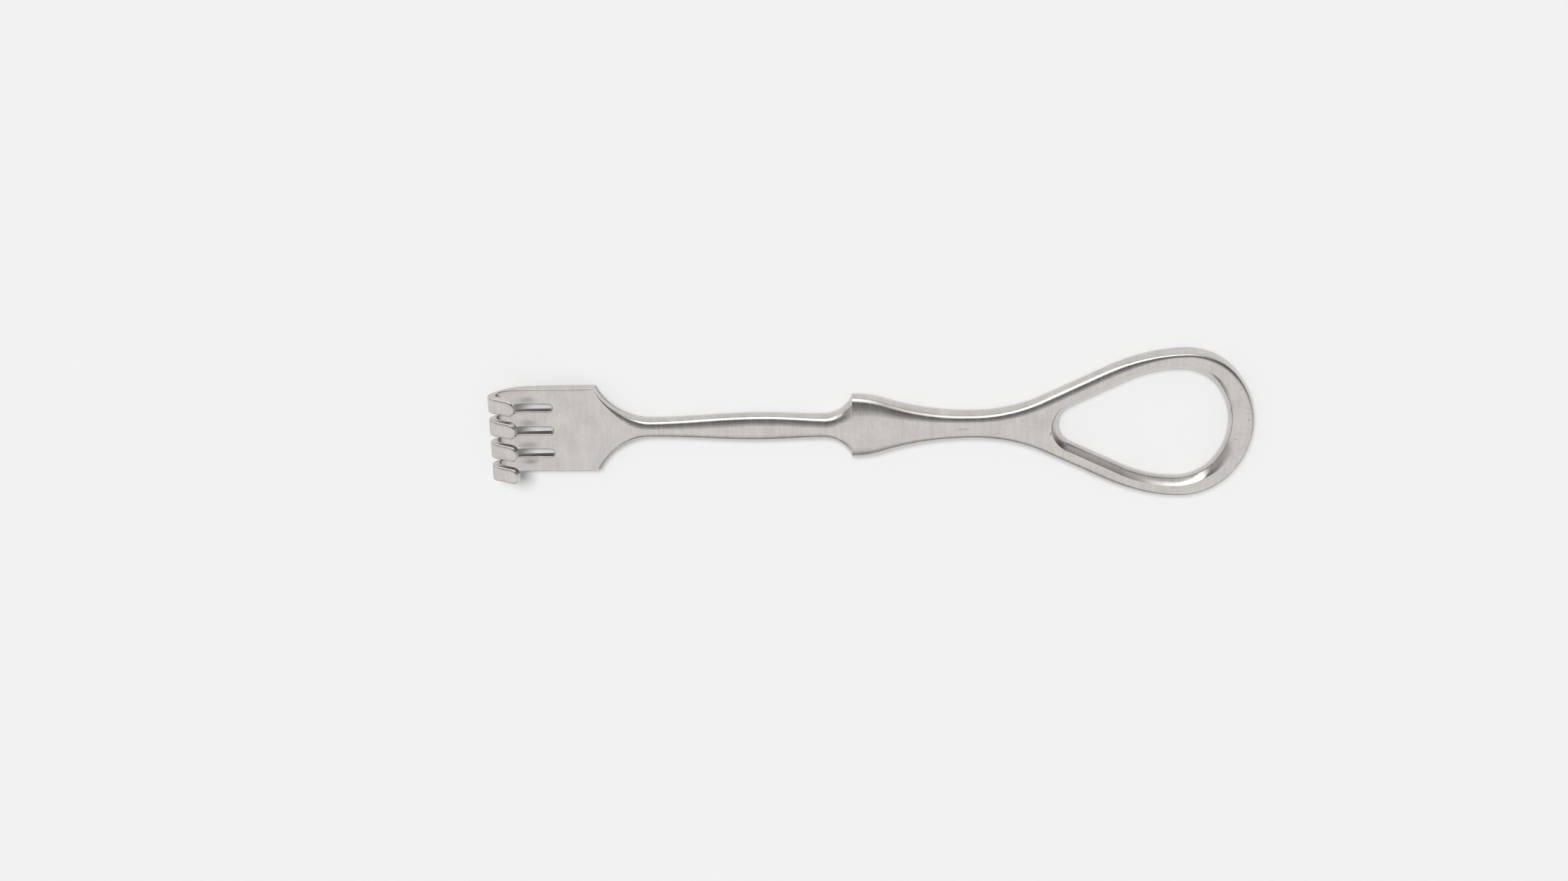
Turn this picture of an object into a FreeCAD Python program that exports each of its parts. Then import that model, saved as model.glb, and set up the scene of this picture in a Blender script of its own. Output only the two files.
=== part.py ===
import FreeCAD, Part
import math
import os

import Sketcher

# A four-prong blunt rake retractor, forged and ground from one bar of stainless steel.
# It lies on its back: +X runs from the prongs to the finger loop, +Y across the blade
# and +Z out of the face that the prongs curl over. The middle of its thickness is a
# plane of symmetry up to the prongs, and Y = 0 is one all along.

V = FreeCAD.Vector
doc = FreeCAD.newDocument("retractor")

# Driving sizes, in millimetres and degrees. Stations are measured from the bend end.
driving = [
    ("overall_length", 216.0, "outside of the bends to the end of the loop"),
    ("blade_width", 26.0, "across the four prongs"),
    ("blade_station", 29.4, "corners of the blade"),
    ("blade_thickness", 2.7, "at the corners"),
    ("prong_thickness", 2.15, "where the prongs begin to curl"),
    ("blade_bevel", 0.35, "broken edge of the blade and prongs"),
    ("slot_width", 2.25, "gap between prongs"),
    ("slot_count", 3, "gaps between prongs"),
    ("slot_station", 17.5, "round end of each gap"),
    ("curl_station", 11.6, "start of the slow part of the curl"),
    ("curl_radius", 15.0, "outside radius of the slow part"),
    ("curl_angle", 46.0, "turn made by the slow part"),
    ("curl_inner_radius", 15.0, "inside radius of the slow part"),
    ("bend_radius", 2.3, "outside radius of the tight part"),
    ("bend_inner_radius", 2.0, "inside radius of the tight part"),
    ("bend_thickness", 2.3, "at the far end of the bend"),
    ("arm_angle", 26.0, "rise of the straight arm over the blade"),
    ("arm_length", 6.8, "straight outside face of the arm"),
    ("arm_thickness", 2.0, "at the blunt tip"),
    ("tip_radius", 1.9, "corners of the blunt tip"),
    ("shoulder_radius", 17.1, "hollow between blade and shaft"),
    ("neck_width", 5.9, "narrowest place behind the blade"),
    ("belly_width", 8.3, "widest place of the shaft"),
    ("belly_station", 76.0, "widest place of the shaft"),
    ("throat_width", 7.25, "narrowest place before the finger rest"),
    ("shaft_thickness", 4.9, "along the shaft"),
    ("shaft_edge", 2.4, "round edge of the shaft"),
    ("flare_radius", 8.8, "hollow between shaft and finger rest"),
    ("swell_station", 80.0, "where the shaft begins to thicken"),
    ("rest_station", 102.4, "ridge of the finger rest"),
    ("rest_width", 19.5, "across the finger rest"),
    ("rest_thickness", 7.0, "at the finger rest"),
    ("rest_edge", 6.8, "width of the rounded edge at the finger rest"),
    ("crest_share", 0.27, "part of the run to the waist that is round, the rest hollow"),
    ("waist_width", 8.3, "narrowest place of the handle"),
    ("waist_length", 1.3, "straight run at the waist"),
    ("waist_edge", 2.6, "width of the rounded edge at the waist"),
    ("waist_thickness", 5.6, "at the waist"),
    ("root_radius", 45.0, "hollow from the waist to the loop"),
    ("flank_angle", 26.5, "straight sides of the loop"),
    ("flank_radius", 50.6, "sides of the loop up to its widest place"),
    ("loop_width", 44.9, "outside of the loop"),
    ("loop_corner_level", 3.95, "centres of the rounds beyond its widest place, from the middle"),
    ("loop_end_flat", 1.5, "how much shallower the end is than those rounds"),
    ("loop_thickness", 5.5, "all round the loop"),
    ("loop_root_edge", 2.3, "outer edge radius along the straight sides"),
    ("loop_end_edge", 1.25, "outer edge radius round the end"),
    ("loop_side_bar", 3.65, "face of the loop beside the hole, at the widest place"),
    ("loop_end_bar", 4.9, "face of the loop at its end"),
    ("hole_flank_radius", 35.5, "sides of the hole up to its widest place"),
    ("hole_corner_level", 3.3, "centres of the rounds beyond its widest place, from the middle"),
    ("hole_end_flat", 1.1, "how much shallower the hole's end is than those rounds"),
    ("hole_crotch_radius", 8.25, "narrow end of the hole"),
    ("crown", 1.9, "how far the wall of the hole bulges inwards"),
    ("land", 0.15, "upright strip left halfway down a rounded edge"),
]

sheet = doc.addObject("Spreadsheet::Sheet", "Sizes")
for row, (alias, value, meaning) in enumerate(driving, start=1):
    sheet.set("A%d" % row, alias)
    sheet.set("B%d" % row, str(value))
    sheet.set("C%d" % row, meaning)
    sheet.setAlias("B%d" % row, alias)
doc.recompute()


def size(alias):
    return float(sheet.get(alias))


def station(alias):
    """Place along X of a size that is measured from the bend end."""
    return size(alias) - size("overall_length") / 2


def origin_plane(body, role):
    return next(item for item in body.Origin.OriginFeatures if item.Role == role)


def new_sketch(body, name, role):
    sketch = body.newObject("Sketcher::SketchObject", name)
    sketch.AttachmentSupport = [(origin_plane(body, role), "")]
    sketch.MapMode = "FlatFace"
    return sketch


def line(start, end):
    return Part.LineSegment(V(*start, 0), V(*end, 0)), 1, 2


def arc(centre, radius, start, end):
    """Arc from one point to another, less than a full turn, walked either way round.

    The turn goes the way the sign of the radius says: plus is anticlockwise.
    """
    first = math.atan2(start[1] - centre[1], start[0] - centre[0])
    last = math.atan2(end[1] - centre[1], end[0] - centre[0])
    circle = Part.Circle(V(*centre, 0), V(0, 0, 1), abs(radius))
    if radius > 0:
        return Part.ArcOfCircle(circle, first, last if last > first else last + 2 * math.pi), 1, 2
    return Part.ArcOfCircle(circle, last, first if first > last else first + 2 * math.pi), 2, 1


def draw_outline(sketch, pieces, corners):
    """Add a closed chain of pieces; joints that are not corners are tangent."""
    for geometry, _, _ in pieces:
        sketch.addGeometry(geometry, False)
    for index, (_, _, leaving) in enumerate(pieces):
        following = (index + 1) % len(pieces)
        entering = pieces[following][1]
        kind = "Coincident" if index in corners else "Tangent"
        sketch.addConstraint(Sketcher.Constraint(kind, index, leaving, following, entering))


def dimension(sketch, name, expression, kind, *where):
    """Add a driving dimension and bind it to the sheet."""
    index = sketch.addConstraint(Sketcher.Constraint(kind, *where))
    sketch.renameConstraint(index, name)
    sketch.setExpression("Constraints." + name, expression)
    return index


def round_about(centre, radius, angle):
    """Point on a circle, by the angle from +X in degrees."""
    return (centre[0] + radius * math.cos(math.radians(angle)),
            centre[1] + radius * math.sin(math.radians(angle)))


def thinning_reach(x, centre, thinned):
    """Distance between two touching circles, one level at x and the other at its own lowest place.

    The levels of those two places differ by the thinned amount.
    """
    return ((x - centre[0]) ** 2 + thinned ** 2) / (2 * thinned)


def beyond(start, centre, distance):
    """Point past a centre by a distance, on the line to it from another point."""
    run = math.dist(start, centre)
    return tuple(place + (place - origin) * distance / run for origin, place in zip(start, centre))


def curl_outline():
    """Side view of blade, curl and arm, walked from the blade's back edge round the tip.

    The places are X and Z. Both faces of the blade leave its corners level and come
    together gently. The prongs are thinnest in the slow part of the curl, where the
    wheel that polishes the inside takes most off.
    """
    blade_x = station("blade_station")
    half_blade = size("blade_thickness") / 2
    half_prong = size("prong_thickness") / 2
    thinned = half_blade - half_prong
    bend_end_x = -size("overall_length") / 2
    turn, rise = size("curl_angle"), size("arm_angle")
    along = round_about((0, 0), 1, rise)
    inwards = round_about((0, 0), 1, rise - 90)

    curl, bend = size("curl_radius"), size("bend_radius")
    curl_centre = (station("curl_station"), curl - half_prong)
    back_radius = thinning_reach(blade_x, curl_centre, thinned) + curl
    back_centre = (blade_x, back_radius - half_blade)
    curl_start = beyond(back_centre, curl_centre, curl)
    curl_end = round_about(curl_centre, curl, -90 - turn)
    bend_x = bend_end_x + bend
    bend_start_x = round_about((bend_x, 0), bend, -90 - turn)[0]
    climb = (curl_end[0] - bend_start_x) * math.tan(math.radians(turn))
    bend_centre = (bend_x, curl_end[1] + climb + bend * math.cos(math.radians(turn)))
    bend_start = round_about(bend_centre, bend, -90 - turn)
    bend_end = round_about(bend_centre, bend, 90 + rise)
    tip_outside = tuple(place + size("arm_length") * way for place, way in zip(bend_end, along))
    tip_inside = tuple(place + size("arm_thickness") * way for place, way in zip(tip_outside, inwards))

    small, large = size("bend_inner_radius"), size("curl_inner_radius")
    small_x = bend_end_x + size("bend_thickness") + small
    back = (small_x - tip_inside[0] - small * inwards[0]) / along[0]
    small_end = tuple(place + back * way for place, way in zip(tip_inside, along))
    small_centre = tuple(place + small * way for place, way in zip(small_end, inwards))
    large_y = half_prong + large
    lean = math.acos((large_y - small_centre[1]) / (large - small))
    large_centre = (small_x + (large - small) * math.sin(lean), large_y)
    small_start = round_about(small_centre, small, -90 - math.degrees(lean))
    front_radius = thinning_reach(blade_x, large_centre, thinned) - large
    front_centre = (blade_x, half_blade - front_radius)
    large_start = beyond(front_centre, large_centre, -large)

    return [
        arc(back_centre, -back_radius, (blade_x, -half_blade), curl_start),
        arc(curl_centre, -curl, curl_start, curl_end),
        line(curl_end, bend_start),
        arc(bend_centre, -bend, bend_start, bend_end),
        line(bend_end, tip_outside),
        line(tip_outside, tip_inside),
        line(tip_inside, small_end),
        arc(small_centre, small, small_end, small_start),
        arc(large_centre, large, small_start, large_start),
        arc(front_centre, -front_radius, large_start, (blade_x, half_blade)),
        line((blade_x, half_blade), (blade_x, -half_blade)),
    ]


def make_head():
    """Blade and prongs: the side view padded across, then slotted and softened."""
    body = doc.addObject("PartDesign::Body", "Head")
    side = new_sketch(body, "SideView", "XZ_Plane")
    outline = curl_outline()
    draw_outline(side, outline, corners=(4, 5, 9, 10))
    side.addConstraint(Sketcher.Constraint("Symmetric", 10, 1, 10, 2, -1))
    side.addConstraint(Sketcher.Constraint("Vertical", 0, 3, 10, 2))
    side.addConstraint(Sketcher.Constraint("Vertical", 9, 3, 10, 1))
    side.addConstraint(Sketcher.Constraint("Perpendicular", 4, 5))
    side.addConstraint(Sketcher.Constraint("Parallel", 4, 6))
    centres = [outline[index][0].Center for index in (1, 3, 7, 8)]
    curl_centre, bend_centre, small_centre, large_centre = centres
    from_end = " - Sizes.overall_length / 2"
    dimension(side, "blade_end", "Sizes.blade_station" + from_end,
              "DistanceX", -1, 1, 10, 1, station("blade_station"))
    dimension(side, "blade_depth", "Sizes.blade_thickness", "Distance", 10, size("blade_thickness"))
    dimension(side, "curl", "Sizes.curl_radius", "Radius", 1, size("curl_radius"))
    dimension(side, "bend", "Sizes.bend_radius", "Radius", 3, size("bend_radius"))
    dimension(side, "inner_bend", "Sizes.bend_inner_radius", "Radius", 7, size("bend_inner_radius"))
    dimension(side, "inner_curl", "Sizes.curl_inner_radius", "Radius", 8, size("curl_inner_radius"))
    dimension(side, "curl_start", "Sizes.curl_station" + from_end,
              "DistanceX", -1, 1, 1, 3, station("curl_station"))
    dimension(side, "curl_level", "Sizes.curl_radius - Sizes.prong_thickness / 2",
              "DistanceY", -1, 1, 1, 3, curl_centre.y)
    dimension(side, "curl_turn", "(180 - Sizes.curl_angle) * 1 deg",
              "Angle", 2, math.radians(180 - size("curl_angle")))
    dimension(side, "bend_place", "Sizes.bend_radius" + from_end,
              "DistanceX", -1, 1, 3, 3, bend_centre.x)
    dimension(side, "arm_rise", "Sizes.arm_angle * 1 deg", "Angle", 4, math.radians(size("arm_angle")))
    dimension(side, "arm_length", "Sizes.arm_length", "Distance", 4, size("arm_length"))
    dimension(side, "tip", "Sizes.arm_thickness", "Distance", 5, size("arm_thickness"))
    dimension(side, "bend_wall", "Sizes.bend_thickness + Sizes.bend_inner_radius" + from_end,
              "DistanceX", -1, 1, 7, 3, small_centre.x)
    dimension(side, "inner_level", "Sizes.prong_thickness / 2 + Sizes.curl_inner_radius",
              "DistanceY", -1, 1, 8, 3, large_centre.y)
    pad = body.newObject("PartDesign::Pad", "Strip")
    pad.Profile = side
    pad.SideType = "Symmetric"
    pad.setExpression("Length", "Sizes.blade_width")
    side.Visibility = False
    doc.recompute()
    cut_slots(body)
    soften_head(body)
    return body


def cut_slots(body):
    """Saw the gaps between the prongs, each with a round end, right through the curl."""
    outside_x = -size("overall_length") / 2 - size("slot_width")
    half_slot = size("slot_width") / 2
    centre_x = station("slot_station") - half_slot
    pitch = (size("blade_width") + size("slot_width")) / (size("slot_count") + 1)
    first_y = -pitch * (size("slot_count") - 1) / 2
    sketch = new_sketch(body, "SlotOutline", "XY_Plane")
    high, low = first_y + half_slot, first_y - half_slot
    draw_outline(sketch, [
        line((outside_x, high), (centre_x, high)),
        arc((centre_x, first_y), -half_slot, (centre_x, high), (centre_x, low)),
        line((centre_x, low), (outside_x, low)),
        line((outside_x, low), (outside_x, high)),
    ], corners=(2, 3))
    sketch.addConstraint(Sketcher.Constraint("Horizontal", 0))
    sketch.addConstraint(Sketcher.Constraint("Horizontal", 2))
    sketch.addConstraint(Sketcher.Constraint("Vertical", 3))
    pitch_words = "(Sizes.blade_width + Sizes.slot_width) / (Sizes.slot_count + 1)"
    dimension(sketch, "slot_end", "Sizes.slot_width / 2", "Radius", 1, half_slot)
    dimension(sketch, "slot_reach",
              "Sizes.slot_station - Sizes.slot_width / 2 - Sizes.overall_length / 2",
              "DistanceX", -1, 1, 1, 3, centre_x)
    dimension(sketch, "slot_row", "-" + pitch_words + " * (Sizes.slot_count - 1) / 2",
              "DistanceY", -1, 1, 1, 3, first_y)
    dimension(sketch, "slot_mouth", "-Sizes.overall_length / 2 - Sizes.slot_width",
              "DistanceX", -1, 1, 3, 1, outside_x)
    pocket = body.newObject("PartDesign::Pocket", "Slot")
    pocket.Profile = sketch
    pocket.SideType = "Symmetric"
    pocket.Type = "ThroughAll"
    sketch.Visibility = False
    doc.recompute()
    pattern = body.newObject("PartDesign::LinearPattern", "Slots")
    pattern.Originals = [pocket]
    pattern.Direction = (sketch, ["V_Axis"])
    pattern.setExpression("Length", pitch_words + " * (Sizes.slot_count - 1)")
    pattern.setExpression("Occurrences", "Sizes.slot_count")
    body.Tip = pattern
    doc.recompute()


def dress(body, kind, name, measure, alias, edges):
    """Round or bevel numbered edges of the body as it stands."""
    shaped = body.Tip
    feature = body.newObject("PartDesign::" + kind, name)
    feature.Base = (shaped, ["Edge%d" % number for number in edges])
    feature.setExpression(measure, "Sizes." + alias)
    body.Tip = feature
    doc.recompute()


def soften_head(body):
    """Round the corners of the blunt tips, then bevel every other edge of the head."""
    outline = curl_outline()
    tip = outline[5][0]
    tip_middle = V((tip.StartPoint.x + tip.EndPoint.x) / 2, 0, (tip.StartPoint.y + tip.EndPoint.y) / 2)
    corners = []
    for number, edge in enumerate(body.Shape.Edges, start=1):
        middle = edge.CenterOfMass
        if V(middle.x, 0, middle.z).distanceToPoint(tip_middle) < size("land"):
            if abs(edge.tangentAt(edge.FirstParameter).y) < 0.5:
                corners.append(number)
    dress(body, "Fillet", "TipCorners", "Radius", "tip_radius", corners)
    blade_x = station("blade_station")
    soft = []
    for number, edge in enumerate(body.Shape.Edges, start=1):
        if edge.BoundBox.XMin > blade_x - size("land"):
            continue
        first, second = (face for face in body.Shape.ancestorsOfType(edge, Part.Face))
        if bend_between(first, second, edge) > 20:
            soft.append(number)
    dress(body, "Chamfer", "BrokenEdges", "Size", "blade_bevel", soft)


def bend_between(first, second, edge):
    """Angle in degrees between two faces where they meet, halfway along their edge."""
    middle = edge.valueAt((edge.FirstParameter + edge.LastParameter) / 2)
    one, other = (face.normalAt(*face.Surface.parameter(middle)) for face in (first, second))
    return math.degrees(one.getAngle(other))


def rounded_section(place, half_width, half_thickness, edge_width, edge_depth, fullness):
    """Closed wire across the bar: flat faces, soft edges and a short land between them.

    An edge of no fullness is a flat bevel, and one of full fullness a quarter ellipse.
    """
    flat = half_width - edge_width
    upright = half_thickness - edge_depth

    def quarter(start, corner, end):
        bevel = V(place, (start[0] + end[0]) / 2, (start[1] + end[1]) / 2)
        middle = bevel + (V(place, *corner) - bevel) * fullness
        curve = Part.BezierCurve()
        curve.setPoles([V(place, *start), middle, V(place, *end)])
        curve.setWeight(2, math.sqrt(0.5))
        return curve.toShape()

    def straight(start, end):
        return Part.makeLine(V(place, *start), V(place, *end))

    return Part.Wire([
        straight((-flat, half_thickness), (flat, half_thickness)),
        quarter((flat, half_thickness), (half_width, half_thickness), (half_width, upright)),
        straight((half_width, upright), (half_width, -upright)),
        quarter((half_width, -upright), (half_width, -half_thickness), (flat, -half_thickness)),
        straight((flat, -half_thickness), (-flat, -half_thickness)),
        quarter((-flat, -half_thickness), (-half_width, -half_thickness), (-half_width, -upright)),
        straight((-half_width, -upright), (-half_width, upright)),
        quarter((-half_width, upright), (-half_width, half_thickness), (-flat, half_thickness)),
    ])


def along_arc(start, radius, heading, turn, steps):
    """Places and half widths along an arc of the plan; a plus turn goes outwards."""
    side = math.copysign(radius, turn)
    centre = round_about(start, side, heading + 90)
    return [round_about(centre, -side, heading + turn * step / steps + 90) for step in range(1, steps + 1)]


def ease(share):
    return (1 - math.cos(math.pi * min(max(share, 0), 1))) / 2


def blend(first, last, share):
    return first + (last - first) * share


def wave(start, end, steps):
    """Places and half widths on a gentle swelling between two levels."""
    shares = [step / steps for step in range(1, steps + 1)]
    return [(blend(start[0], end[0], share), blend(start[1], end[1], ease(share))) for share in shares]


def hollow_angle(radius, rise):
    return math.degrees(math.acos(1 - rise / radius))


def make_shank():
    """Blade's shoulders, shaft and flare, lofted through sections along the tool."""
    half_blade, half_neck = size("blade_width") / 2, size("neck_width") / 2
    half_throat, half_rest = size("throat_width") / 2, size("rest_width") / 2
    blade_x, rest_x = station("blade_station"), station("rest_station")
    shoulder = hollow_angle(size("shoulder_radius"), half_blade - half_neck)
    flare = hollow_angle(size("flare_radius"), half_rest - half_throat)
    throat_x = rest_x - size("flare_radius") * math.sin(math.radians(flare))
    belly = (station("belly_station"), size("belly_width") / 2)

    outline = [(blade_x, half_blade)]
    outline += along_arc(outline[0], size("shoulder_radius"), -shoulder, shoulder, 6)
    neck_x = outline[-1][0]
    outline += wave(outline[-1], belly, 3)
    outline += wave(belly, (throat_x, half_throat), 2)
    outline += along_arc(outline[-1], size("flare_radius"), 0, flare, 5)

    sections = []
    for place, half_width in outline:
        grown = ease((place - blade_x) / (neck_x - blade_x))
        swell = max(0, (place - station("swell_station")) / (rest_x - station("swell_station")))
        spread = 0
        if place > throat_x:
            spread = (half_width - half_throat) / (half_rest - half_throat)
        thickness = blend(size("blade_thickness"), size("shaft_thickness"), grown)
        thickness += (size("rest_thickness") - size("shaft_thickness")) * swell ** 2
        edge = blend(size("blade_bevel"), size("shaft_edge"), grown)
        edge = blend(edge, size("rest_edge"), spread)
        depth = blend(size("blade_bevel"), thickness / 2 - size("land"), grown)
        sections.append(rounded_section(place, half_width, thickness / 2, edge, depth, grown))
    shank = doc.addObject("Part::Feature", "Shank")
    shank.Shape = Part.makeLoft(sections, True)
    return shank


def teardrop_places(half_width, rise, flat, flank, end_x):
    """Centres, radius and joints of a teardrop outline, on its +Y side."""
    angle = math.radians(size("flank_angle"))
    corner = half_width - rise
    end_radius = corner + flat / 2 + rise ** 2 / (2 * flat)
    end_centre = (end_x - end_radius, 0)
    widest_x = end_x - corner - flat
    lean = math.degrees(math.atan2(rise, widest_x - end_centre[0]))
    flank_centre = (widest_x, half_width - flank)
    return {
        "end_centre": end_centre,
        "end_radius": end_radius,
        "joint": round_about(end_centre, end_radius, lean),
        "corner_centre": (widest_x, rise),
        "widest": (widest_x, half_width),
        "flank_centre": flank_centre,
        "flank": (widest_x - flank * math.sin(angle), flank_centre[1] + flank * math.cos(angle)),
    }


def loop_outline():
    """Places of the loop's outside, with the end of its straight side where the handle ends."""
    angle = math.radians(size("flank_angle"))
    places = teardrop_places(size("loop_width") / 2, size("loop_corner_level"), size("loop_end_flat"),
                             size("flank_radius"), size("overall_length") / 2)
    flank = places["flank"]
    root_y = size("waist_width") / 2 + size("root_radius") * (1 - math.cos(angle))
    places["first"] = (flank[0] - (flank[1] - root_y) / math.tan(angle), root_y)
    return places


def hole_outline():
    """Places of the hole at the faces of the loop, with the end of its straight side."""
    angle = math.radians(size("flank_angle"))
    places = teardrop_places(size("loop_width") / 2 - size("loop_side_bar"), size("hole_corner_level"),
                             size("hole_end_flat"), size("hole_flank_radius"),
                             size("overall_length") / 2 - size("loop_end_bar"))
    flank, crotch = places["flank"], size("hole_crotch_radius")
    crotch_x = flank[0] - flank[1] / math.tan(angle) + crotch / math.sin(angle)
    places["crotch_centre"] = (crotch_x, 0)
    places["first"] = (crotch_x - crotch * math.sin(angle), crotch * math.cos(angle))
    return places


def make_handle():
    """Handle from the ridge of the finger rest to the root of the loop."""
    flank = size("flank_angle")
    half_rest, half_waist = size("rest_width") / 2, size("waist_width") / 2
    root = loop_outline()["first"]
    ridge = (station("rest_station"), half_rest)
    waist_end_x = root[0] - size("root_radius") * math.sin(math.radians(flank))
    waist_x = waist_end_x - size("waist_length")
    taper = 2 * math.degrees(math.atan2(half_rest - half_waist, waist_x - ridge[0]))
    both_radii = (waist_x - ridge[0]) / math.sin(math.radians(taper))

    outline = [ridge]
    outline += along_arc(ridge, both_radii * size("crest_share"), 0, -taper, 3)
    outline += along_arc(outline[-1], both_radii * (1 - size("crest_share")), -taper, taper, 3)
    outline.append((waist_end_x, half_waist))
    outline += along_arc(outline[-1], size("root_radius"), 0, flank, 3)

    root_edge_width = size("loop_root_edge") / math.cos(math.radians(flank))
    sections = []
    for place, half_width in outline:
        if place < waist_end_x:
            share = max(0, waist_x - place) / (waist_x - ridge[0])
            thickness = blend(size("waist_thickness"), size("rest_thickness"), share)
            edge = blend(size("waist_edge"), size("rest_edge"), share ** 2)
            depth = thickness / 2 - size("land")
        else:
            share = (place - waist_x) / (root[0] - waist_x)
            thickness = blend(size("waist_thickness"), size("loop_thickness"), share)
            edge = blend(size("waist_edge"), root_edge_width, share)
            depth = blend(size("waist_thickness") / 2 - size("land"), size("loop_root_edge"), share)
        sections.append(rounded_section(place, half_width, thickness / 2, edge, depth, 1))
    handle = doc.addObject("Part::Feature", "Handle")
    handle.Shape = Part.makeLoft(sections, True)
    return handle


def mirrored(point):
    return point[0], -point[1]


def teardrop(places):
    """Sides, corners and end shared by the loop's outline and its hole, walked from below."""
    first, flank, widest, joint = (places[name] for name in ("first", "flank", "widest", "joint"))
    side, corner, end = (places[name] for name in ("flank_centre", "corner_centre", "end_centre"))
    side_radius = widest[1] - side[1]
    corner_radius = widest[1] - corner[1]
    return [
        line(mirrored(first), mirrored(flank)),
        arc(mirrored(side), side_radius, mirrored(flank), mirrored(widest)),
        arc(mirrored(corner), corner_radius, mirrored(widest), mirrored(joint)),
        arc(end, places["end_radius"], mirrored(joint), joint),
        arc(corner, corner_radius, joint, widest),
        arc(side, side_radius, widest, flank),
        line(flank, first),
    ]


def size_teardrop(sketch, places, half_width, end, rise, flat, flank):
    """Dimensions shared by both teardrops; the words are expressions on the sheet."""
    angle = math.radians(size("flank_angle"))
    corner = "(%s - %s)" % (half_width, rise)
    end_radius = "(%s + %s / 2 + %s ^ 2 / (2 * %s))" % (corner, flat, rise, flat)
    sketch.addConstraint(Sketcher.Constraint("PointOnObject", 3, 3, -1))
    sketch.addConstraint(Sketcher.Constraint("Vertical", 1, 3, 2, 3))
    sketch.addConstraint(Sketcher.Constraint("Vertical", 5, 3, 4, 3))
    corner_radius = places["widest"][1] - places["corner_centre"][1]
    flank_radius = places["widest"][1] - places["flank_centre"][1]
    dimension(sketch, "end_place", "%s - %s" % (end, end_radius), "DistanceX", -1, 1, 3, 3,
              places["end_centre"][0])
    dimension(sketch, "end_round", end_radius, "Radius", 3, places["end_radius"])
    dimension(sketch, "low_corner", corner, "Radius", 2, corner_radius)
    dimension(sketch, "high_corner", corner, "Radius", 4, corner_radius)
    dimension(sketch, "low_level", rise, "DistanceY", 2, 3, -1, 1, places["corner_centre"][1])
    dimension(sketch, "high_level", rise, "DistanceY", -1, 1, 4, 3, places["corner_centre"][1])
    dimension(sketch, "low_flank", flank, "Radius", 1, flank_radius)
    dimension(sketch, "high_flank", flank, "Radius", 5, flank_radius)
    dimension(sketch, "low_slope", "Sizes.flank_angle * -1 deg", "Angle", 0, -angle)
    dimension(sketch, "high_slope", "(Sizes.flank_angle - 180) * 1 deg", "Angle", 6, angle - math.pi)


def make_loop():
    """Teardrop loop: a padded outline, and a hole whose wall is crowned."""
    body = doc.addObject("PartDesign::Body", "LoopBlank")
    outline = new_sketch(body, "LoopOutline", "XY_Plane")
    places = loop_outline()
    first = places["first"]
    draw_outline(outline, teardrop(places) + [line(first, mirrored(first))], corners=(6, 7))
    size_teardrop(outline, places, "Sizes.loop_width / 2", "Sizes.overall_length / 2",
                  "Sizes.loop_corner_level", "Sizes.loop_end_flat", "Sizes.flank_radius")
    outline.addConstraint(Sketcher.Constraint("Vertical", 7))
    hollow = "2 * Sizes.root_radius * (1 - cos(Sizes.flank_angle * 1 deg))"
    dimension(outline, "root", "Sizes.waist_width + " + hollow, "Distance", 7, 2 * first[1])
    pad = body.newObject("PartDesign::Pad", "LoopPlate")
    pad.Profile = outline
    pad.SideType = "Symmetric"
    pad.setExpression("Length", "Sizes.loop_thickness")
    outline.Visibility = False
    doc.recompute()

    hole = new_sketch(body, "HoleOutline", "XY_Plane")
    places = hole_outline()
    first = places["first"]
    crotch = arc(places["crotch_centre"], size("hole_crotch_radius"), first, mirrored(first))
    draw_outline(hole, teardrop(places) + [crotch], corners=())
    size_teardrop(hole, places, "(Sizes.loop_width / 2 - Sizes.loop_side_bar)",
                  "(Sizes.overall_length / 2 - Sizes.loop_end_bar)", "Sizes.hole_corner_level",
                  "Sizes.hole_end_flat", "Sizes.hole_flank_radius")
    dimension(hole, "crotch", "Sizes.hole_crotch_radius", "Radius", 7, size("hole_crotch_radius"))
    pocket = body.newObject("PartDesign::Pocket", "Hole")
    pocket.Profile = hole
    pocket.SideType = "Symmetric"
    pocket.Type = "ThroughAll"
    hole.Visibility = False
    body.Tip = pocket
    doc.recompute()
    crown_hole(body, hole)
    return body


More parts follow.
